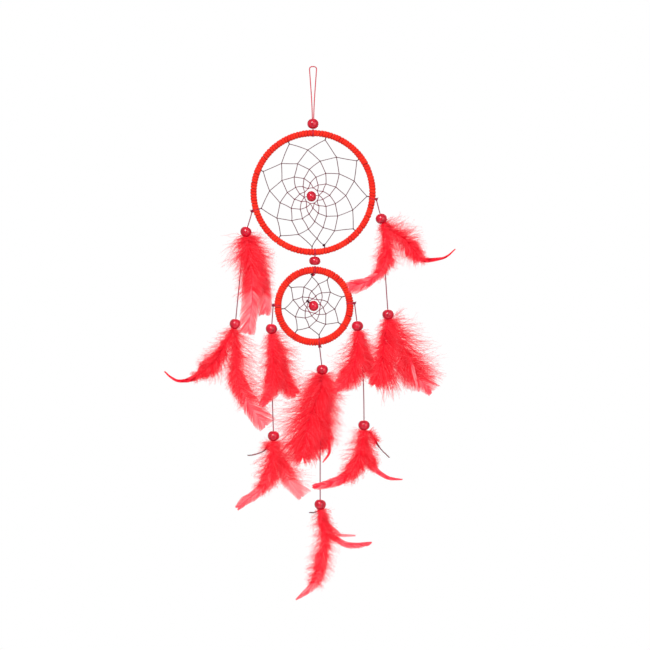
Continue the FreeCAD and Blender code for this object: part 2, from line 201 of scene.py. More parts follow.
def add_tube(soup, line, radius, sides=8, closed=False, first=(0.3, 1.0, 0.2), plies=0, lay=2.4, value=0.0):
    """A round tube along a line, with value as its shade; with plies it is a twisted thread."""
    line = np.asarray(line, float)
    if closed:
        heading = unit(np.roll(line, -1, axis=0) - np.roll(line, 1, axis=0))
        side = unit(np.cross(heading, np.asarray(first, float)))
    else:
        heading, side = side_vectors(line, first)
    other = np.cross(heading, side)
    angle = np.linspace(0, 2 * math.pi, sides, endpoint=False)
    radius = np.broadcast_to(np.asarray(radius, float), (len(line),))[:, None]
    if plies:
        along = np.concatenate([[0], np.cumsum(np.linalg.norm(np.diff(line, axis=0), axis=1))])[:, None]
        twist = angle[None, :] - 2 * math.pi * along / lay
        radius = radius * (PLY_VALLEY + PLY_RISE * np.abs(np.cos(plies / 2 * twist)))
    else:
        radius = np.repeat(radius, sides, axis=1)
    points = (
        line[:, None, :]
        + side[:, None, :] * (radius * np.cos(angle))[..., None]
        + other[:, None, :] * (radius * np.sin(angle))[..., None]
    )
    faces = [ring_faces(len(line), sides, closed)]
    if not closed:
        last = (len(line) - 1) * sides
        faces.append([[0, k + 1, k] for k in range(1, sides - 1)])
        faces.append([[last, last + k, last + k + 1] for k in range(1, sides - 1)])
    soup.add(points, *faces, value=value)


# ------------------------------------------------------------------ materials
def material(name):
    """A new node material; returns it with its node tree and Principled shader."""
    made = bpy.data.materials.new(name)
    made.use_nodes = True
    tree = made.node_tree
    return made, tree, tree.nodes["Principled BSDF"]


def noise(tree, scale, detail=4.0, stretch=None):
    """Noise in the object's own coordinates."""
    coordinates = tree.nodes.new("ShaderNodeTexCoord")
    made = tree.nodes.new("ShaderNodeTexNoise")
    made.inputs["Scale"].default_value = scale
    made.inputs["Detail"].default_value = detail
    if stretch:
        mapping = tree.nodes.new("ShaderNodeMapping")
        mapping.inputs["Scale"].default_value = stretch
        tree.links.new(coordinates.outputs["Object"], mapping.inputs["Vector"])
        tree.links.new(mapping.outputs["Vector"], made.inputs["Vector"])
    else:
        tree.links.new(coordinates.outputs["Object"], made.inputs["Vector"])
    return made.outputs["Fac"]


def ramp(tree, value, stops):
    """A colour ramp over a value."""
    made = tree.nodes.new("ShaderNodeValToRGB")
    made.color_ramp.elements[0].position = stops[0][0]
    made.color_ramp.elements[0].color = (*stops[0][1], 1)
    made.color_ramp.elements[1].position = stops[-1][0]
    made.color_ramp.elements[1].color = (*stops[-1][1], 1)
    for position, colour in stops[1:-1]:
        made.color_ramp.elements.new(position).color = (*colour, 1)
    tree.links.new(value, made.inputs["Fac"])
    return made.outputs["Color"]


def spread(tree, value, low, high):
    """A value from 0 to 1 mapped to a range."""
    made = tree.nodes.new("ShaderNodeMapRange")
    made.inputs["To Min"].default_value = low
    made.inputs["To Max"].default_value = high
    tree.links.new(value, made.inputs["Value"])
    return made.outputs["Result"]


def bump(tree, value, shader, strength, distance):
    """Raise the surface by a value."""
    made = tree.nodes.new("ShaderNodeBump")
    made.inputs["Strength"].default_value = strength
    made.inputs["Distance"].default_value = distance
    tree.links.new(value, made.inputs["Height"])
    tree.links.new(made.outputs["Normal"], shader.inputs["Normal"])


def shade_of(tree, value, low=0.0, high=1.0):
    """The shade kept at the mesh's points, with this much of a value added."""
    kept = tree.nodes.new("ShaderNodeAttribute")
    kept.attribute_name = "shade"
    made = tree.nodes.new("ShaderNodeMath")
    made.operation = "ADD"
    tree.links.new(kept.outputs["Fac"], made.inputs[0])
    tree.links.new(spread(tree, value, low, high), made.inputs[1])
    return made.outputs[0]


def lace_material():
    """Matte suede lace: orange-red nap in random patches, with painted shade darkening its edges where they
    tuck into the seams.
    """
    made, tree, shader = material("red_suede_lace")
    patches = noise(tree, 300.0, 5.0)
    # The kept shade holds random tone per turn and painted shade at the lace's edges in the seams; the
    # noise adds patches.
    patches_and_seam_shade = shade_of(tree, patches, -0.22, 0.22)
    stops = [
        (0.0, (0.86, 0.034, 0.012)),
        (0.3, (0.72, 0.016, 0.008)),
        (0.62, (0.5, 0.009, 0.007)),
        (1.0, (0.2, 0.004, 0.005)),
    ]
    colour = ramp(tree, patches_and_seam_shade, stops)
    tree.links.new(colour, shader.inputs["Base Color"])
    nap = noise(tree, 2600.0, 6.0)
    tree.links.new(spread(tree, nap, 0.6, 0.95), shader.inputs["Roughness"])
    shader.inputs["Sheen Weight"].default_value = 0.06
    shader.inputs["Specular IOR Level"].default_value = 0.12
    bump(tree, nap, shader, 0.55, 0.00025)
    return made


def thread_material(name, dark, middle, pale):
    """Waxed thread with fibres laid along its twist."""
    made, tree, shader = material(name)
    fibres = noise(tree, 1500.0, 5.0)
    colour = ramp(tree, fibres, [(0.3, dark), (0.55, middle), (0.8, pale)])
    tree.links.new(colour, shader.inputs["Base Color"])
    tree.links.new(spread(tree, fibres, 0.42, 0.7), shader.inputs["Roughness"])
    shader.inputs["Specular IOR Level"].default_value = 0.3
    bump(tree, fibres, shader, 0.4, 0.0001)
    return made


def web_material():
    """Dark thread of the webs, with painted light that makes it lighter and redder where the rows draw
    together round the bead.
    """
    made, tree, shader = material("web_thread")
    fibres = noise(tree, 1500.0, 5.0)
    stops = [
        (0.0, (0.05, 0.004, 0.014)),
        (0.3, (0.09, 0.006, 0.02)),
        (0.6, (0.14, 0.01, 0.03)),
        (1.0, (0.24, 0.014, 0.045)),
    ]
    colour = ramp(tree, shade_of(tree, fibres, -0.25, 0.25), stops)
    tree.links.new(colour, shader.inputs["Base Color"])
    tree.links.new(spread(tree, fibres, 0.42, 0.7), shader.inputs["Roughness"])
    shader.inputs["Specular IOR Level"].default_value = 0.3
    bump(tree, fibres, shader, 0.4, 0.0001)
    return made


def bead_material():
    """Glossy dyed bead under clear varnish, with faint grain."""
    made, tree, shader = material("varnished_bead")
    grain = noise(tree, 420.0, 4.0, (1.0, 1.0, 0.3))
    stops = [
        (0.3, (0.3, 0.002, 0.012)),
        (0.55, (0.56, 0.004, 0.024)),
        (0.8, (0.68, 0.008, 0.034)),
    ]
    colour = ramp(tree, grain, stops)
    tree.links.new(colour, shader.inputs["Base Color"])
    tree.links.new(spread(tree, grain, 0.12, 0.24), shader.inputs["Roughness"])
    shader.inputs["Specular IOR Level"].default_value = 0.35
    shader.inputs["Coat Weight"].default_value = 0.35
    shader.inputs["Coat Roughness"].default_value = 0.05
    bump(tree, grain, shader, 0.06, 0.0002)
    return made


def wire_material():
    """Drawn steel wire."""
    made, tree, shader = material("drawn_wire")
    streaks = noise(tree, 900.0, 3.0)
    colour = ramp(tree, streaks, [(0.3, (0.42, 0.41, 0.4)), (0.7, (0.62, 0.61, 0.6))])
    tree.links.new(colour, shader.inputs["Base Color"])
    shader.inputs["Metallic"].default_value = 1.0
    tree.links.new(spread(tree, streaks, 0.3, 0.5), shader.inputs["Roughness"])
    bump(tree, streaks, shader, 0.2, 0.00005)
    return made


def feather_material():
    """Dyed barbs: deep red where they are dense, paler on the vane, lit through, and with a painted glow in
    their own colour.
    """
    made, tree, shader = material("dyed_barbs")
    islands = tree.nodes.new("ShaderNodeNewGeometry").outputs["Random Per Island"]
    clouds = noise(tree, 90.0, 3.0)
    mixed = tree.nodes.new("ShaderNodeMath")
    mixed.operation = "MULTIPLY_ADD"
    tree.links.new(islands, mixed.inputs[0])
    mixed.inputs[1].default_value = 0.6
    tree.links.new(clouds, mixed.inputs[2])
    value = shade_of(tree, mixed.outputs[0], -0.12, 0.14)
    stops = [
        (0.0, (0.16, 0.004, 0.016)),
        (0.12, (0.52, 0.005, 0.018)),
        (0.36, (1.0, 0.015, 0.042)),
        (0.68, (1.0, 0.11, 0.15)),
        (1.0, (1.0, 0.32, 0.35)),
    ]
    colour = ramp(tree, value, stops)
    # Emission in the barbs' own colour is a painted glow.
    tree.links.new(colour, shader.inputs["Emission Color"])
    shader.inputs["Emission Strength"].default_value = PAINTED_GLOW
    tree.links.new(colour, shader.inputs["Base Color"])
    tree.links.new(spread(tree, clouds, 0.6, 0.85), shader.inputs["Roughness"])
    shader.inputs["Specular IOR Level"].default_value = 0.12
    glow = tree.nodes.new("ShaderNodeBsdfTranslucent")
    tree.links.new(colour, glow.inputs["Color"])
    blend = tree.nodes.new("ShaderNodeMixShader")
    blend.inputs["Fac"].default_value = 0.35
    tree.links.new(shader.outputs["BSDF"], blend.inputs[1])
    tree.links.new(glow.outputs["BSDF"], blend.inputs[2])
    tree.links.new(blend.outputs["Shader"], tree.nodes["Material Output"].inputs["Surface"])
    return made


# Feathers are pressed flat: no barb stands further than this out of the hoops' plane.
DEPTH = 11.0

# Painted glow: emission in the barbs' own colour, standing in for light that dyed down passes on from barb
# to barb, as a share of its colour.
PAINTED_GLOW = 0.2

LACE = lace_material()
THREAD = thread_material("dark_thread", (0.1, 0.005, 0.02), (0.27, 0.01, 0.045), (0.42, 0.025, 0.08))
RED_THREAD = thread_material("red_thread", (0.3, 0.006, 0.02), (0.55, 0.014, 0.04), (0.75, 0.04, 0.08))
WEB_THREAD = web_material()
BEAD = bead_material()
WIRE = wire_material()
BARBS = feather_material()


# ------------------------------------------------------------------ camera
def make_camera():
    """Square on to the hoops, as far back as a short telephoto needs."""
    data = bpy.data.cameras.new("camera")
    data.lens = 85
    data.sensor_width = 36
    view_width = 0.570
    camera = bpy.data.objects.new("camera", data)
    camera.location = (0.0105, -view_width * data.lens / data.sensor_width, -0.2271)
    camera.rotation_euler = (math.pi / 2, 0, 0)
    bpy.context.scene.collection.objects.link(camera)
    bpy.context.scene.camera = camera


# ------------------------------------------------------------------ cords
def spline_line(name, points):
    """The line of a smooth NURBS cord with these control points, in mm."""
    data = bpy.data.curves.new(name + "_route", "CURVE")
    data.dimensions = "3D"
    data.resolution_u = 24
    spline = data.splines.new("NURBS")
    spline.points.add(len(points) - 1)
    for point, (x, y, z) in zip(spline.points, points):
        point.co = (x * MM, y * MM, z * MM, 1)
    spline.order_u = 3
    spline.use_endpoint_u = True
    holder = bpy.data.objects.new(name + "_route", data)
    bpy.context.scene.collection.objects.link(holder)
    bpy.context.view_layer.update()
    mesh = bpy.data.meshes.new_from_object(holder)
    line = np.array([v.co for v in mesh.vertices]) / MM
    bpy.data.objects.remove(holder)
    bpy.data.meshes.remove(mesh)
    bpy.data.curves.remove(data)
    return line


def line_length(line):
    """Length of a line in mm."""
    return float(np.linalg.norm(np.diff(line, axis=0), axis=1).sum())


def cord_piece(name, points, finish):
    """A twisted thread along a smooth route; returns the piece and its line."""
    line = spline_line(name, points)
    soup = Soup()
    add_tube(soup, even_line(line, 0.3), CORD_DIAMETER / 2, sides=12, plies=2, lay=3.4)
    return soup.piece(name, finish, "thread"), line


def polar(hoop, angle, reach=0.0):
    """A point in the hoops' plane at this angle of a hoop, this far outside its centre line."""
    radius = hoop["ring"] + reach
    turn = math.radians(angle)
    x, z = hoop["centre"]
    return np.array([x + radius * math.cos(turn), 0, z + radius * math.sin(turn)])


def hanging_loop():
    """Two strands that leave the hoop, pass through the top bead and meet over the hook."""
    points = [(-0.5, 0, -55.2), (-0.5, 0, -38.95), (-2.87, 0, -5.8), (-3.25, 0, -0.45)]
    points = points + [(-x, y, z) for x, y, z in reversed(points)]
    piece, line = cord_piece("hanging_loop_thread", points, RED_THREAD)
    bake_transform(piece)
    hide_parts("hanging_loop", "hanger_cord")


def strand_cord(name, hoop, angle, upper, bend, lower):
    """One strand's thread: from its knot, through the upper bead, to the lower bead's mouth."""
    knot = polar(hoop, angle, hoop["section"] + KNOT_REACH)
    top = knot - np.array([0, 0, KNOT_REACH + 0.3])
    upper = np.array([upper[0], 0, upper[1]])
    bend = np.array([bend[0], 0, bend[1]])
    lower = np.array([lower[0], 0, lower[1]])
    upper_line = unit(upper - top)
    mouth = upper + upper_line * BEAD_HEIGHT / 2
    lower_line = unit(lower - bend)
    end = lower + lower_line * BEAD_HEIGHT / 2
    route = [knot, top, mouth, mouth + upper_line * 0.3, bend, end]
    piece, line = cord_piece(name + "_thread", route, THREAD)
    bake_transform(piece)
    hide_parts(name + "_upper_cord", name + "_lower_cord")
    return upper, upper_line, lower, lower_line


make_camera()
hanging_loop()
BEAD_PLACES = {}
for strand_name, strand_route in STRANDS.items():
    BEAD_PLACES[strand_name] = strand_cord(strand_name, *strand_route)


# ------------------------------------------------------------------ hoops
def lace_wrap(name, hoop, turns, seed):
    """One flat lace wound round the ring; each turn laps the edge of the one before."""
    rng = np.random.default_rng(seed)
    per_turn = 20
    count = turns * per_turn
    turn = np.arange(count) / per_turn
    pitch = 2 * math.pi * hoop["ring"] / turns

    def eased(values):
        """One value for each turn, eased from turn to turn."""
        return np.interp(turn, np.arange(turns), values, period=turns)

    wander = eased(rng.normal(0, 0.07, turns))
    ring_angle = 2 * math.pi * (turn + wander) / turns
    section_angle = -2 * math.pi * turn
    lift = eased(rng.normal(0, 0.06, turns))
    width = pitch * (1.12 + eased(rng.normal(0, 0.05, turns)))
    outward = np.stack([np.cos(ring_angle), 0 * ring_angle, np.sin(ring_angle)], 1)
    along = np.stack([-np.sin(ring_angle), 0 * ring_angle, np.cos(ring_angle)], 1)
    back = np.array([0, 1.0, 0])
    across = outward * np.cos(section_angle)[:, None] + back * np.sin(section_angle)[:, None]
    centre = np.array([hoop["centre"][0], 0, hoop["centre"][1]]) + outward * hoop["ring"]
    outer = hoop["section"]
    edge = [-0.5, -0.47, -0.38, -0.22, 0.0, 0.22, 0.38, 0.47, 0.5, 0.4, 0.0, -0.4]
    height = [0.4, 0.6, 0.82, 0.97, 1.04, 1.0, 0.88, 0.68, 0.48, 0.4, 0.38, 0.38]
    points = np.zeros((count, len(edge), 3))
    # Each point's shade: random tone per turn, plus painted shade that darkens the lace's edges where they
    # tuck into the seams, more where the lace faces front or back.
    blotch_and_seam_shade = np.zeros((count, len(edge)))
    face_on = np.abs(np.sin(section_angle)) ** 3
    blotch = eased(rng.uniform(-0.12, 0.16, turns))
    for k, (u, v) in enumerate(zip(edge, height)):
        rise = WIRE_RADIUS + (outer - WIRE_RADIUS) * v + 0.16 * u + lift * v
        raised = across * np.broadcast_to(rise, (count,))[:, None]
        points[:, k] = centre + along * (u * width)[:, None] + raised
        blotch_and_seam_shade[:, k] = 0.18 + blotch + 0.85 * abs(2 * u) ** 5 * (0.55 + 0.45 * face_on)
    soup = Soup()
    soup.add(points, ring_faces(count, len(edge), True), value=blotch_and_seam_shade.ravel())
    piece = soup.piece(name + "_lace", LACE, "lace")
    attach(piece, name)
    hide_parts(name + "_wrap")


def add_turns(soup, hoop, angle, reach, offsets):
    """Turns of thread round a hoop's section at this angle."""
    across = polar(hoop, angle, 1) - polar(hoop, angle)
    along = np.cross(across, [0, 1.0, 0])
    middle = polar(hoop, angle)
    phase = np.linspace(0, 2 * math.pi, 40, endpoint=False)[:, None]
    for offset in offsets:
        slant = 0.18 * np.sin(phase)
        line = middle + along * (offset + slant) + (across * np.cos(phase) + FRONT * np.sin(phase)) * reach
        add_tube(soup, line, TURN_RADIUS, sides=8, closed=True, first=along)


def add_knot(soup, centre, scale, tilt):
    """A small overhand knot."""
    phase = np.linspace(0, 2 * math.pi, 72, endpoint=False)
    x = np.sin(phase) + 2 * np.sin(2 * phase)
    y = np.cos(phase) - 2 * np.cos(2 * phase)
    z = -np.sin(3 * phase)
    line = np.stack([x, z * 1.1, y], 1) * (scale / 3)
    turn = np.array([[math.cos(tilt), 0, math.sin(tilt)], [0, 1, 0], [-math.sin(tilt), 0, math.cos(tilt)]])
    add_tube(soup, centre + line @ turn.T, scale * 0.4, sides=8, closed=True, first=(0.2, 1.0, 0.1))


def stub(soup, start, aim, length, radius=0.3):
    """A cut end of thread that sticks out of a knot."""
    reach = np.array(aim) * length
    bow = np.array([start, start + reach * 0.5 + FRONT * 0.25, start + reach])
    add_tube(soup, smooth_line(bow, 0.3), radius, sides=8, plies=2)


def strand_hitches():
    """Each strand's thread tied round its hoop, with its knot and its cut end."""
    for name, (hoop, angle, *_) in STRANDS.items():
        body = "large_hoop" if hoop is LARGE else "small_hoop"
        soup = Soup()
        add_turns(soup, hoop, angle, hoop["section"] - 0.2, (-0.45, 0.4))
        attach(soup.piece(name + "_turns", RED_THREAD, "thread"), body)
        soup = Soup()
        knot = polar(hoop, angle, hoop["section"] + KNOT_REACH * 0.8)
        outward = unit(knot - polar(hoop, angle))
        add_knot(soup, knot, 1.15, math.radians(angle))
        stub(soup, knot, unit(outward + np.array([0, 0, 0.9])), 2.2)
        piece = soup.piece(name + "_knot", THREAD, "thread")
        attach(piece, body)
        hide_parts(name + "_hitch")


def hoop_turns():
    """The hanger's turns over the large hoop, and the link's knotted turns over the small one."""
    soup = Soup()
    add_turns(soup, LARGE, 90, LARGE["section"] + 0.2, (-STRAND_HALF_GAP, STRAND_HALF_GAP))
    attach(soup.piece("top_turns", RED_THREAD, "thread"), "hanger")
    soup = Soup()
    add_turns(soup, SMALL, 88.6, SMALL["section"] + 0.1, (-STRAND_HALF_GAP, STRAND_HALF_GAP))
    add_knot(soup, polar(SMALL, 91, -SMALL["section"] - 0.9), 1.1, 0.4)
    piece = soup.piece("small_hoop_turns", RED_THREAD, "thread")
    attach(piece, "small_hoop")
    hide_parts("small_hoop_hitch")


def link_thread():
    """Two strands from turns under the large hoop down through the link bead."""
    soup = Soup()
    link_angle = -90 + math.degrees(math.asin(LINK_X / LARGE["ring"]))
    add_turns(soup, LARGE, link_angle, LARGE["section"] + 0.2, (-STRAND_HALF_GAP, STRAND_HALF_GAP))
    for side in (-1, 1):
        ends = np.array([[LINK_X + side * 0.45, 0, LINK_TOP], [LINK_X + side * 0.3, 0, LINK_END]])
        add_tube(soup, even_line(ends, 0.4), 0.34, sides=8, plies=2)
    piece = soup.piece("link_thread", RED_THREAD, "thread")
    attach(piece, "link")
    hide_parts("link_cord")


# ------------------------------------------------------------------ webs
def web_rows(name, hoop):
    """The web's corners, row by row: each lies between two of the row before, pulled in."""
    angles, reach, middle, pulls = WEBS[name]
    centre = np.array([hoop["centre"][0], 0, hoop["centre"][1]])
    close = centre + np.array([middle[0], 0, middle[1]])
    turns = [math.radians(a) for a in angles]
    rows = [np.array([centre + reach * np.array([math.cos(t), 0, math.sin(t)]) for t in turns])]
    for pull in pulls:
        between = (rows[-1] + np.roll(rows[-1], -1, axis=0)) / 2
        rows.append(between + (close - between) * pull)
    return rows


def slack(start, end, sag, step=0.8):
    """A stretch of thread between two corners, a little slack."""
    count = max(4, int(np.linalg.norm(end - start) / step))
    t = np.linspace(0, 1, count)[:, None]
    line = start + (end - start) * t
    bow = np.cross(unit(end - start), FRONT)
    return line + bow * sag * np.sin(math.pi * t) + FRONT * 0.12 * np.sin(2 * math.pi * t)


def web(name, hoop, body, seed):
    """One thread: stems to the hoop, rows of slack zigzag, and a hitch at each corner."""
    rng = np.random.default_rng(seed)
    rows = web_rows(name, hoop)
    angles = WEBS[name][0]
    soup = Soup()
    # Each tube's value is painted light: low on the stems, each row lighter and redder towards the bead.
    for angle, corner in zip(angles, rows[0]):
        rim = polar(hoop, angle, 0.6 - hoop["section"])
        for side in (-0.22, 0.22):
            offset = np.cross(unit(rim - corner), FRONT) * side
            add_tube(soup, slack(corner, rim + offset * 1.5, 0.05), WEB_RADIUS * 0.9, sides=6, value=0.3)
    row_painted_light = 0.3 + 0.6 * np.linspace(0, 1, len(rows)) ** 1.5
    for painted_light, outer, inner in zip(row_painted_light, rows, rows[1:]):
        for i, corner in enumerate(inner):
            for start in (outer[i], outer[(i + 1) % len(outer)]):
                add_tube(soup, slack(start, corner, rng.normal(0, 0.22)), WEB_RADIUS, sides=6, value=painted_light)
    # Painted light: the ring round the bead and the thread across it get the highest value, the reddest.
    ring = rows[-1]
    for start, end in zip(ring, np.roll(ring, -1, axis=0)):
        add_tube(soup, slack(start, end, rng.normal(0, 0.1)), WEB_RADIUS, sides=6, value=0.9)
    half = len(ring) // 2
    spans = [abs((ring[i] - ring[(i + half) % len(ring)])[0]) for i in range(len(ring))]
    first = int(np.argmax(spans))
    near = ring[first]
    far = ring[(first + half) % len(ring)]
    add_tube(soup, even_line(np.array([near, far]), 0.8), WEB_RADIUS, sides=6, value=0.9)
    for painted_light, row in zip(row_painted_light, rows):
        for corner in row:
            phase = np.linspace(0, 2 * math.pi, 12, endpoint=False)[:, None]
            inward = unit(rows[-1].mean(axis=0) - corner)
            across = np.cross(inward, FRONT)
            tilt = rng.normal(0, 0.3)
            axis_two = unit(FRONT + inward * tilt)
            for shift in (-0.2, 0.22):
                line = corner + inward * shift + (across * np.cos(phase) + axis_two * np.sin(phase)) * 0.4
                add_tube(soup, line, WEB_RADIUS * 0.8, sides=6, closed=True, first=inward, value=painted_light)
    for x, z, scale in WEB_KNOTS[name]:
        add_knot(soup, np.array([x, -0.4, z]), scale, x)
    piece = soup.piece(name + "_web_thread", WEB_THREAD, "thread")
    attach(piece, body)
    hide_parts(name + "_web")
    centre = (near + far) / 2
    bead(name + "_web_bead", centre, unit(far - near), name + "_web_bead", WEB_BEAD_RADIUS, WEB_BEAD_HEIGHT)


# ------------------------------------------------------------------ beads
def bead(node, centre, axis, body, radius=BEAD_RADIUS, height=BEAD_HEIGHT, bore=0.9):
    """A turned bead: round side, softened mouths and an open bore."""
    half = height / 2
    rise = radius - bore
    crown = (rise**2 + half**2) / (2 * rise)
    middle = radius - crown
    limit = math.asin(min(0.999, (half - 0.25) / crown))
    side = np.linspace(-limit, limit, 21)
    profile = [(bore, -half + 0.9), (bore + 0.05, -half + 0.3), (bore + 0.22, -half + 0.06)]
    profile += [(middle + crown * math.cos(a), crown * math.sin(a)) for a in side]
    profile += [(bore + 0.22, half - 0.06), (bore + 0.05, half - 0.3), (bore, half - 0.9), (bore, 0)]
    profile = np.array(profile)
    axis = unit(np.asarray(axis, float))
    across = unit(np.cross(axis, [0.1, 1.0, 0.05]))
    other = np.cross(axis, across)
    sectors = 56
    angle = np.linspace(0, 2 * math.pi, sectors, endpoint=False)[:, None]
    around = across * np.cos(angle) + other * np.sin(angle)
    points = centre + around[:, None, :] * profile[None, :, :1] + axis * profile[None, :, 1:]
    soup = Soup()
    soup.add(points, ring_faces(sectors, len(profile), True))
    piece = soup.piece(node + "_turned", BEAD, "bead")
    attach(piece, body)
    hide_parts(node)


def wires():
    """The steel rings inside the laces keep their CAD shape and get a drawn-wire finish."""
    for node in ("large_hoop_core", "small_hoop_core"):
        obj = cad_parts[node]
        obj.data.materials.clear()
        obj.data.materials.append(WIRE)


lace_wrap("large_hoop", LARGE, 124, 11)
lace_wrap("small_hoop", SMALL, 94, 12)
wires()
strand_hitches()
hoop_turns()
link_thread()
web("large", LARGE, "large_hoop", 21)
web("small", SMALL, "small_hoop", 22)
bead("top_bead", np.array([0, 0, TOP_BEAD_Z]), (0, 0, 1), "top_bead", bore=LOOSE_BORE)
bead("link_bead", np.array([LINK_X, 0, LINK_BEAD_Z]), (0, 0, 1), "link", height=LINK_BEAD_HEIGHT)
for strand_name, (upper, upper_line, lower, lower_line) in BEAD_PLACES.items():
    bead(strand_name + "_upper_bead", upper, upper_line, strand_name + "_upper")
    bead(strand_name + "_lower_bead", lower, lower_line, strand_name + "_lower")


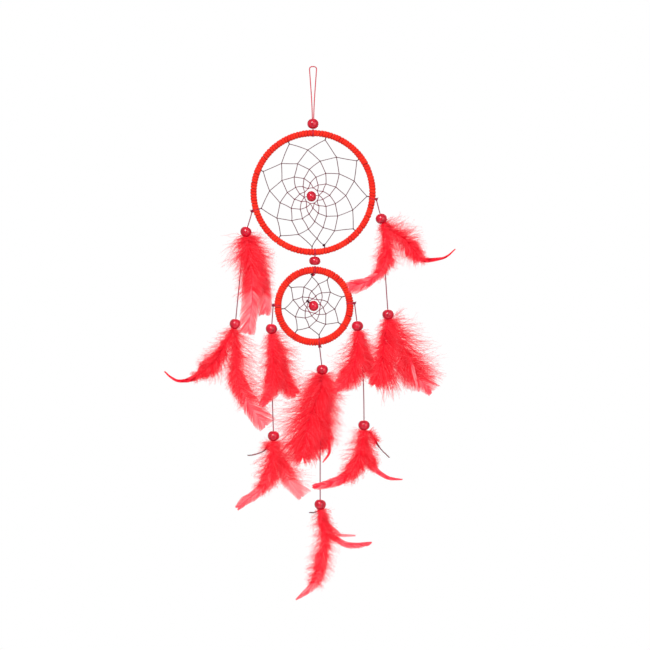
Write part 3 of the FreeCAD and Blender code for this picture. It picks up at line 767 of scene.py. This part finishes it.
# ------------------------------------------------------------------ feathers
# Plumes by the node that each stands for: how far in front of the strand it lies (mm), its
# shaft as (x, z), its dense half widths as (share of the shaft, to the left, to the right)
# as seen with the tip down, the share that is down, how pale its vane is, how far its
# loose wisps reach beyond the dense part (left, right) and, where it isn't full, how
# close its barbs are on each side (left, right).
PLUMES = {
    "large_left_upper_feather_1": [
        (2.2, [(-58.3, -150), (-55.6, -165), (-53.6, -185), (-53.2, -205), (-55, -220),
          (-57.2, -233.5)],
         [(0, 6, 8), (0.1, 8, 12), (0.3, 9, 13), (0.6, 10, 6), (0.85, 9.5, 6.5), (1, 7, 5)],
         0.42, 0.45, (1.6, 1.4)),
        (3.4, [(-58, -149.5), (-56.8, -158), (-55, -170)],
         [(0, 13, 10), (0.4, 17, 15), (0.8, 15, 16), (1, 11, 13)], 1, 0.4, (1.4, 1.2)),
    ],
    "large_left_upper_feather_2": [
        (-2.4, [(-57.9, -150), (-50.5, -171), (-44.9, -192), (-41.6, -208), (-42.2, -217)],
         [(0, 4, 7), (0.2, 8, 12), (0.4, 8, 9), (0.8, 9, 5), (1, 7, 4)], 0.55, 0.45, (1.2, 1.6)),
    ],
    "large_left_lower_feather_1": [
        (2.4, [(-69, -230.5), (-76, -243), (-84.7, -257), (-94.9, -267), (-105.9, -274),
          (-116.7, -276), (-124, -273), (-130, -267.8)],
         [(0, 3, 3), (0.1, 6, 6), (0.25, 9, 10), (0.42, 8, 9), (0.56, 3.2, 3.6), (0.75, 1.6, 1.6),
          (1, 0.5, 0.5)],
         0.48, -0.05, (1.8, 1.8)),
    ],
    "large_left_lower_feather_2": [
        (-2.2, [(-68.6, -230.5), (-67.6, -252), (-67.6, -268), (-64.5, -281), (-58.5, -293),
          (-51, -304), (-42, -315)],
         [(0, 2, 4), (0.2, 6, 9), (0.4, 9, 9), (0.6, 7, 11), (0.82, 8, 12), (0.95, 6, 9), (1, 4, 4)],
         0.52, 0.45, (1.3, 3.0), (1.0, 0.8)),
    ],
    "small_left_upper_feather_1": [
        (2.4, [(-36.5, -235), (-35, -262), (-37.7, -282), (-45, -297.5)],
         [(0, 4, 5), (0.12, 6, 9), (0.4, 8, 12), (0.6, 6, 10), (0.75, 4, 6), (0.9, 3, 3.4),
          (1, 1.5, 1.5)],
         0.68, 0.25, (1.8, 1.2)),
    ],
    "small_left_upper_feather_2": [
        (-2.4, [(-36.2, -235), (-29, -256), (-24.5, -276), (-15, -287.5)],
         [(0, 3, 5), (0.15, 6, 9), (0.5, 9, 9), (0.8, 8, 6), (1, 2, 2)], 0.8, 0.2, (1.0, 2.0)),
    ],
    "large_right_upper_feather_1": [
        (-2.4, [(61.2, -138.5), (68.2, -144.5), (79.8, -151.3), (88, -161), (96.5, -169.6),
          (110.5, -169.3), (118, -166.6), (125, -160.4)],
         [(0, 3, 5), (0.1, 6, 10), (0.3, 10, 9), (0.46, 7, 6), (0.58, 2.4, 2.8), (0.78, 1, 1.5),
          (1, 0.4, 0.4)],
         0.46, -0.1, (1.9, 1.8), (0.75, 0.75)),
    ],
    "large_right_upper_feather_2": [
        (3.0, [(61.4, -138.5), (64.8, -154), (63.4, -169), (59.6, -179), (52, -186.3), (44, -190.4),
          (31.5, -194)],
         [(0, 3, 4), (0.18, 6, 7), (0.36, 8, 8.5), (0.5, 5, 5), (0.62, 4, 4), (0.82, 6.5, 6.5),
          (1, 3.4, 3.4)],
         0.46, 0.25, (1.7, 1.7)),
    ],
    "large_right_lower_feather_1": [
        (2.4, [(65.8, -222.6), (62.5, -243), (59.5, -260), (54, -279)],
         [(0, 4, 9), (0.12, 6, 16), (0.4, 8, 26), (0.62, 7, 26), (0.8, 7, 14), (0.92, 5, 6), (1, 2, 2)],
         0.86, 0.14, (1.4, 1.0)),
        (3.4, [(84, -256), (86.5, -262), (89, -272), (92.3, -285)],
         [(0, 1, 1), (0.4, 1.6, 1.6), (1, 0.6, 0.6)], 0.05, 0.7, (1.2, 1.2)),
    ],
    "large_right_lower_feather_2": [
        (-2.2, [(66.6, -222.6), (77.5, -240), (85, -259), (92.5, -273.5), (104, -285)],
         [(0, 4, 9), (0.2, 10, 14), (0.45, 17, 16), (0.62, 13, 16), (0.8, 6, 11), (0.95, 4.5, 5),
          (1, 3, 3)],
         0.6, 0.35, (1.0, 1.6), (1.0, 0.35)),
    ],
    "small_right_upper_feather_1": [
        (2.4, [(39.5, -232.6), (38.8, -249), (34.2, -266.6), (25, -278.5), (15.5, -286.5)],
         [(0, 4, 4), (0.15, 8, 8), (0.4, 12, 13), (0.6, 8, 10), (0.8, 4.4, 4), (1, 1.5, 1.5)],
         0.6, 0.2, (1.8, 1.2)),
    ],
    "small_right_upper_feather_2": [
        (-2.2, [(39.6, -232.6), (43.2, -249), (49, -262), (55, -268.5)],
         [(0, 4, 5), (0.25, 6, 9), (0.6, 9, 9), (0.9, 7, 6), (1, 2, 2)], 0.85, 0.18, (1.0, 1.8)),
    ],
    "small_centre_upper_feather_1": [
        (2.8, [(8.6, -271), (4.5, -286), (-1, -303), (-5.5, -322), (-8.8, -342)],
         [(0, 9, 10), (0.12, 14, 15), (0.3, 20, 20), (0.55, 24, 22), (0.8, 20, 15), (1, 7, 5)],
         0.97, 0.15, (1.3, 1.2)),
        (3.6, [(8.6, -270.5), (7.6, -279), (5, -292)],
         [(0, 13, 13), (0.4, 17, 14), (0.8, 16, 14), (1, 12, 12)], 1, 0.1, (1.2, 1.3)),
        (3.2, [(13.7, -326), (14.5, -336), (13.2, -341), (8.8, -347)],
         [(0, 1, 1), (0.5, 1.5, 1.2), (1, 0.4, 0.4)], 0.05, 0.1, (1.2, 1.2)),
        (4.2, [(5.7, -271), (2, -282.4), (-2.1, -295.6), (-6.1, -305.2)],
         [(0, 0.6, 0.6), (0.5, 1.4, 1.4), (1, 0.5, 0.5)], 0.1, 2.4, (1.2, 1.2)),
    ],
    "small_centre_upper_feather_2": [
        (-2.8, [(8.8, -271), (10, -288), (9.5, -308), (9, -322), (7, -334)],
         [(0, 6, 9), (0.15, 10, 11), (0.5, 12, 10), (0.8, 10, 9), (1, 4, 4)], 0.95, 0.15, (1.2, 1.7)),
    ],
    "small_left_lower_feather_1": [
        (2.2, [(-34.6, -329), (-36.3, -350), (-40.8, -364), (-49.1, -373.6), (-57.9, -380),
          (-65.8, -387)],
         [(0, 5, 5), (0.15, 8, 9), (0.36, 8, 9), (0.54, 4.5, 5), (0.8, 4.4, 4), (1, 2, 2)],
         0.46, 0.42, (2.0, 1.5)),
        (3.4, [(-38, -331), (-42.5, -336.8), (-50.9, -340.3), (-57, -341.2)],
         [(0, 1.4, 1.4), (0.4, 0.5, 0.5), (1, 0.3, 0.3)], 0.2, -0.6, (1.8, 1.8)),
    ],
    "small_left_lower_feather_2": [
        (-2.2, [(-34.4, -329), (-28, -347), (-23.4, -359), (-18.4, -367.5), (-10.5, -377.5)],
         [(0, 4, 5), (0.25, 7, 8), (0.5, 7, 9), (0.75, 5, 11), (0.92, 4, 8), (1, 2, 3)],
         0.5, 0.8, (1.2, 2.0), (0.8, 0.6)),
    ],
    "small_right_lower_feather_1": [
        (2.2, [(44.7, -319.6), (40.8, -341), (35.5, -352.6), (28.1, -359.6), (18.9, -364),
          (9.6, -366.8), (0, -368.4)],
         [(0, 5, 4), (0.15, 8, 8), (0.33, 9, 9), (0.5, 5, 6), (0.75, 3.6, 4), (0.92, 2.4, 3),
          (1, 0.8, 0.8)],
         0.45, 0.2, (1.8, 1.5)),
    ],
    "small_right_lower_feather_2": [
        (-2.2, [(44.9, -319.6), (46.5, -338), (51, -348.6), (56.1, -355), (64, -360.4),
          (70.2, -362.2), (78.6, -362.8)],
         [(0, 3, 4), (0.2, 6, 7), (0.38, 6, 6), (0.55, 2.6, 2.4), (0.8, 1.6, 1.5), (1, 0.4, 0.4)],
         0.42, 0.2, (1.2, 1.8)),
        (2.8, [(49.1, -321), (54.4, -328), (59.6, -335.9), (66.7, -343)],
         [(0, 2, 2), (0.3, 1.6, 0.8), (0.6, 0.4, 0.4), (1, 0.3, 0.3)], 0.3, -0.6, (1.8, 1.8)),
    ],
    "small_centre_lower_feather_1": [
        (2.2, [(6.4, -389), (7.8, -399), (10.4, -410.4), (9.8, -421), (7.2, -431), (5.7, -441),
          (2.6, -450.3), (-3.9, -458.7), (-14.9, -467.6)],
         [(0, 3, 4), (0.1, 5, 6), (0.3, 6, 6.5), (0.5, 6, 6.5), (0.66, 4.6, 4.6), (0.85, 2.6, 2.6),
          (1, 0.5, 0.5)],
         0.56, 0.45, (2.2, 2.2), (0.7, 0.8)),
        (3.0, [(5.5, -390.6), (1, -391), (-3.1, -391.2)],
         [(0, 0.4, 0.4), (0.5, 0.4, 0.4), (1, 0.3, 0.3)], 0.05, -0.6, (1.0, 1.0)),
    ],
    "small_centre_lower_feather_2": [
        (-2.2, [(6.6, -389), (9.5, -400), (15.3, -410.4), (21.9, -415.7), (28.9, -419.2),
          (36.8, -420.1), (44.7, -419.2), (51.4, -417.9)],
         [(0, 2, 2), (0.25, 5, 4), (0.42, 3, 2.4), (0.7, 3.4, 2), (0.9, 2.4, 1.2), (1, 0.4, 0.4)],
         0.36, 0.3, (1.3, 1.6)),
        (-3.4, [(8.8, -394.6), (14, -402.5), (19.3, -407.8), (24.6, -411.7), (36.8, -412.2)],
         [(0, 0.8, 0.8), (0.5, 1.8, 1.8), (1, 0.6, 0.6)], 0.1, 0.6, (1.2, 1.2)),
    ],
}


def barbs(soup, base, heading, side, facing, rings, form, shade):
    """Barbs as thin closed three-sided tapers that curve towards the feather's tip.

    base, heading, side and facing have one row for each barb, and so has each value of
    form: length, angle from the shaft, lean out of the vane, how much the lean and the
    angle change along it, wave, its phase, droop, width and thickness.
    """
    t = np.linspace(0, 1, rings)
    wave = form["wave"][:, None] * np.sin(2.2 * math.pi * t + form["phase"][:, None])
    angle = form["angle"][:, None] * (1 - form["curl"][:, None] * t) + wave
    lean = form["lean"][:, None] + form["lift"][:, None] * t + 0.8 * wave
    out = np.cos(lean)[..., None] * side[:, None] + np.sin(lean)[..., None] * facing[:, None]
    course = np.cos(angle)[..., None] * heading[:, None] + np.sin(angle)[..., None] * out
    steps = course * (form["length"] / (rings - 1))[:, None, None]
    line = base[:, None] + np.cumsum(np.concatenate([np.zeros_like(steps[:, :1]), steps[:, :-1]], 1), 1)
    line[..., 2] -= form["droop"][:, None] * t**2
    line[..., 1] = DEPTH * np.tanh(line[..., 1] / DEPTH)
    flat = unit(np.cross(course, facing[:, None]))
    up = unit(np.cross(flat, course))
    width = form["width"][:, None, None] * (1 - 0.75 * t**1.6)[None, :, None]
    thick = width * form["thick"][:, None, None]
    left = line + flat * width / 2 - up * thick / 3
    right = line - flat * width / 2 - up * thick / 3
    corners = np.stack([left, right, line + up * thick * 0.67], 2)
    first = np.arange(len(base))[:, None, None] * rings * 3
    walls = (first + ring_faces(rings, 3, False)[None]).reshape(-1, 4)
    ends = np.array([[2, 1, 0], [rings * 3 - 3, rings * 3 - 2, rings * 3 - 1]])
    caps = (first + ends[None]).reshape(-1, 3)
    value = np.broadcast_to(shade[:, None, None] + 0.12 * t[None, :, None], (len(base), rings, 3))
    soup.add(corners, walls, caps, value=value.ravel())
    return line, course, flat, up, shade


def barbules(soup, rows, per_barb, length, width, rng):
    """Fine hairs along the barbs, each a thin three-sided spike."""
    line, course, flat, up, shade = rows
    count, rings, _ = line.shape
    at = rng.uniform(0.08, 0.97, (count, per_barb)) * (rings - 1)
    low = at.astype(int)
    share = (at - low)[..., None]
    rows = np.arange(count)[:, None]
    root = line[rows, low] * (1 - share) + line[rows, np.minimum(low + 1, rings - 1)] * share
    out = flat[rows, low] * np.where(rng.random((count, per_barb)) < 0.5, -1, 1)[..., None]
    away = up[rows, low] * rng.normal(0, 0.45, (count, per_barb))[..., None]
    aim = unit(course[rows, low] * rng.uniform(0.5, 1.0, (count, per_barb))[..., None] + out + away)
    reach = length * rng.uniform(0.5, 1.15, (count, per_barb))[..., None]
    across = unit(np.cross(aim, up[rows, low]))
    other = np.cross(aim, across)
    half = width / 2
    low_side = root - across * half * 0.5
    corners = [root + across * half, low_side + other * half, low_side - other * half, root + aim * reach]
    spike = np.array([[0, 1, 3], [1, 2, 3], [2, 0, 3], [0, 2, 1]])
    faces = (np.arange(count * per_barb)[:, None, None] * 4 + spike[None]).reshape(-1, 3)
    value = np.broadcast_to(shade[:, None, None] + 0.1, (count, per_barb, 4))
    soup.add(np.stack(corners, 2), faces, value=value.ravel())


class Shaft:
    """A plume's quill as a curve, with directions at any share of its length."""

    def __init__(self, forward, shaft):
        controls = np.array([[x, 0, z] for x, z in shaft], float)
        controls[0, 2] += 0.9
        share = np.linspace(0, 1, len(controls))
        bulge = 1.2 * np.sign(forward) * np.sin(math.pi * share)
        controls[:, 1] = -forward * np.minimum(1, share * 4) - bulge
        self.line = smooth_line(controls, 0.6)
        self.heading, self.facing = side_vectors(self.line, FRONT)
        self.side = np.cross(self.heading, self.facing)
        self.length = line_length(self.line)

    def at(self, fractions):
        """Point, heading, side and facing of the quill at these shares of its length."""
        place = np.clip(fractions, 0, 1) * (len(self.line) - 1)
        low = np.minimum(place.astype(int), len(self.line) - 2)
        rest = (place - low)[:, None]
        tables = (self.line, self.heading, self.side, self.facing)
        found = [values[low] * (1 - rest) + values[low + 1] * rest for values in tables]
        return [found[0]] + [unit(f) for f in found[1:]]


def quill(soup, shaft, pale):
    """The tapered quill itself, slimmer on a short plume."""
    slim = min(1.0, shaft.length / 60)
    share = np.linspace(0, 1, len(shaft.line))
    thickness = slim * np.interp(share, [0, 0.15, 0.6, 1], [0.5, 0.4, 0.24, 0.08])
    add_tube(soup, shaft.line, thickness, sides=7, first=FRONT, value=0.2 + 0.3 * pale)


def vane(soup, rng, shaft, hand, dense, forward, down, pale, full):
    """Barbs close together towards the tip, in clumps that part a little from each other."""
    fractions = np.arange(down * 0.7, 0.995, 0.28 / full / shaft.length)
    count = len(fractions)
    base, ahead, out, face = shaft.at(fractions)
    clump = np.repeat(rng.normal(0, 1, count), rng.integers(6, 18, count))[:count]
    share = (fractions - down * 0.7) / (1 - down * 0.7)
    angle = np.radians(48 - 16 * share) + clump * 0.022 + rng.normal(0, 0.012, count)
    half = np.interp(fractions, *dense) * (1 + clump * 0.035 + rng.normal(0, 0.03, count))
    left_over = ((1 - fractions) * shaft.length + 1.6) / np.cos(angle * 0.86)
    form = {
        "angle": angle,
        "length": np.minimum(np.maximum(half, 0.4) / np.sin(angle) * 1.08, left_over),
        "lean": rng.normal(0, 0.05, count) + clump * 0.04,
        "lift": clump * 0.08 - 0.25 * np.sign(forward),
        "curl": np.full(count, 0.28),
        "wave": rng.uniform(0.0, 0.05, count),
        "phase": rng.normal(3, 0.3, count),
        "droop": np.zeros(count),
        "width": rng.uniform(0.4, 0.54, count),
        "thick": np.full(count, 0.24),
    }
    tone = 0.26 + pale * np.clip(share * 2.2, 0.15, 1) + clump * 0.09 + rng.normal(0, 0.06, count)
    rows = barbs(soup, base, ahead, out * hand, face, 6, form, tone)
    barbules(soup, rows, 2, 0.9, 0.1, rng)


def loose_form(rng, angle, length, lean, ranges, thick):
    """The form of loose barbs, each value drawn from its range."""
    count = len(angle)
    return {
        "angle": angle,
        "length": length,
        "lean": rng.normal(0, lean, count),
        "lift": rng.normal(0, 0.5, count),
        "curl": rng.uniform(*ranges["curl"], count),
        "wave": rng.uniform(*ranges["wave"], count),
        "phase": rng.uniform(0, 6.3, count),
        "droop": rng.uniform(*ranges["droop"], count),
        "width": rng.uniform(*ranges["width"], count),
        "thick": np.full(count, thick),
    }


def down_barbs(soup, rng, shaft, hand, dense, down, pale, full):
    """Overlapping soft barbs near the bead, dense enough to hide the quill."""
    count = int(shaft.length * down * full / 0.1)
    fractions = 0.002 + rng.random(count) ** 1.05 * down * 1.1
    base, ahead, out, face = shaft.at(fractions)
    flare = (42 if down == 1 else 24) * np.clip(1 - fractions * shaft.length / 9, 0, 1)
    angle = np.radians(np.clip(rng.normal(46, 13, count) + flare, 16, 105))
    reach = np.maximum(np.interp(fractions, *dense), 1.5) / np.sin(np.clip(angle, 0.6, 1.5))
    length = reach * rng.uniform(0.3, 1.05, count)
    ranges = {"curl": (0.0, 0.6), "wave": (0.05, 0.3), "droop": (0, 1.2), "width": (0.24, 0.48)}
    form = loose_form(rng, angle, length, 0.4, ranges, 0.4)
    edge = 0.55 * pale * np.clip(fractions / max(down, 0.05) - 0.5, 0, 1)
    tone = 0.3 + edge + rng.normal(0, 0.11, count)
    rows = barbs(soup, base, ahead, out * hand, face, 6, form, tone)
    barbules(soup, rows, 5, 1.8, 0.11, rng)


def loose_wisps(soup, rng, shaft, hand, dense, down, wisp):
    """Long thin barbs that stand out beyond the down, most of them level."""
    count = int(shaft.length * min(down * 1.3, 1) / 0.17)
    fractions = 0.004 + rng.random(count) * min(down * 1.35, 1.0)
    base, ahead, out, face = shaft.at(fractions)
    half = np.interp(fractions, *dense)
    angle = rng.normal(70, 15, count) + 20 * np.clip(1 - fractions * 6, 0, 1)
    length = np.maximum(half, 3.0) * rng.uniform(0.9, wisp + 0.55, count)
    ranges = {"curl": (-0.15, 0.6), "wave": (0.05, 0.35), "droop": (-0.5, 1.8), "width": (0.13, 0.28)}
    form = loose_form(rng, np.radians(np.clip(angle, 35, 115)), length, 0.35, ranges, 0.7)
    rows = barbs(soup, base, ahead, out * hand, face, 8, form, rng.uniform(0.1, 0.6, count))
    barbules(soup, rows, 11, 1.9, 0.1, rng)


def plume(soup, rng, forward, points, widths, down, pale, wisps, fullness=(1.0, 1.0)):
    """A quill with down near its bead, wisps round the down, and a vane towards its tip."""
    shaft = Shaft(forward, points)
    quill(soup, shaft, pale)
    stations = [w[0] for w in widths]
    for hand, column, wisp, full in ((1, 1, wisps[0], fullness[0]), (-1, 2, wisps[1], fullness[1])):
        dense = (stations, [w[column] for w in widths])
        vane(soup, rng, shaft, hand, dense, forward, down, pale, full)
        down_barbs(soup, rng, shaft, hand, dense, down, pale, full)
        loose_wisps(soup, rng, shaft, hand, dense, down, wisp)


def feathers():
    """Every feather, with the slighter plumes that lie with it."""
    for number, (node, plumes) in enumerate(PLUMES.items()):
        rng = np.random.default_rng(100 + number)
        soup = Soup()
        for row in plumes:
            plume(soup, rng, *row)
        piece = soup.piece(node + "_plume", BARBS, "feather")
        strand = node.split("_upper_")[0].split("_lower_")[0]
        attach(piece, strand + "_lower")
        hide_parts(node)


feathers()


# ------------------------------------------------------------------ stage
def stage():
    """A pale round floor below the lowest feather."""
    made, tree, shader = material("pale_floor")
    pale = ramp(tree, noise(tree, 3.0), [(0.3, (0.88, 0.88, 0.88)), (0.7, (0.92, 0.92, 0.92))])
    tree.links.new(pale, shader.inputs["Base Color"])
    shader.inputs["Roughness"].default_value = 0.9
    sides = 64
    radius = 0.35
    low = -0.6
    turns = [2 * math.pi * k / sides for k in range(sides)]
    ring = [(radius * math.cos(turn), radius * math.sin(turn), low) for turn in turns]
    mesh = bpy.data.meshes.new("floor")
    mesh.from_pydata(ring, [], [list(range(sides))])
    mesh.materials.append(made)
    obj = bpy.data.objects.new("floor", mesh)
    bpy.context.scene.collection.objects.link(obj)


def area_light(name, location, target, size, power):
    """A square soft light aimed at a point."""
    data = bpy.data.lights.new(name, "AREA")
    data.size = size
    data.energy = power
    light = bpy.data.objects.new(name, data)
    light.location = location
    aim = np.array(target, float) - np.array(location, float)
    flat = math.hypot(aim[0], aim[1])
    light.rotation_euler = (math.atan2(flat, -aim[2]), 0, math.atan2(aim[1], aim[0]) - math.pi / 2)
    bpy.context.scene.collection.objects.link(light)


def light():
    """White surroundings that light the object softly, a key light above, a fill and a back light."""
    world = bpy.data.worlds.new("surroundings")
    bpy.context.scene.world = world
    world.use_nodes = True
    tree = world.node_tree
    soft = tree.nodes["Background"]
    soft.inputs["Color"].default_value = (1, 0.98, 0.98, 1)
    soft.inputs["Strength"].default_value = 0.5
    seen = tree.nodes.new("ShaderNodeBackground")
    seen.inputs["Color"].default_value = (1, 1, 1, 1)
    seen.inputs["Strength"].default_value = 1.0
    path = tree.nodes.new("ShaderNodeLightPath")
    choose = tree.nodes.new("ShaderNodeMixShader")
    tree.links.new(path.outputs["Is Camera Ray"], choose.inputs["Fac"])
    tree.links.new(soft.outputs["Background"], choose.inputs[1])
    tree.links.new(seen.outputs["Background"], choose.inputs[2])
    tree.links.new(choose.outputs["Shader"], tree.nodes["World Output"].inputs["Surface"])
    middle = (0, 0, -0.22)
    area_light("key", (-0.4, -1.4, 0.6), middle, 0.6, 24)
    area_light("fill", (0.9, -1.3, -0.1), middle, 1.2, 9)
    area_light("back", (0.3, 1.5, 0.4), middle, 1.2, 12)
    bpy.context.scene.view_settings.view_transform = "Standard"


stage()
light()
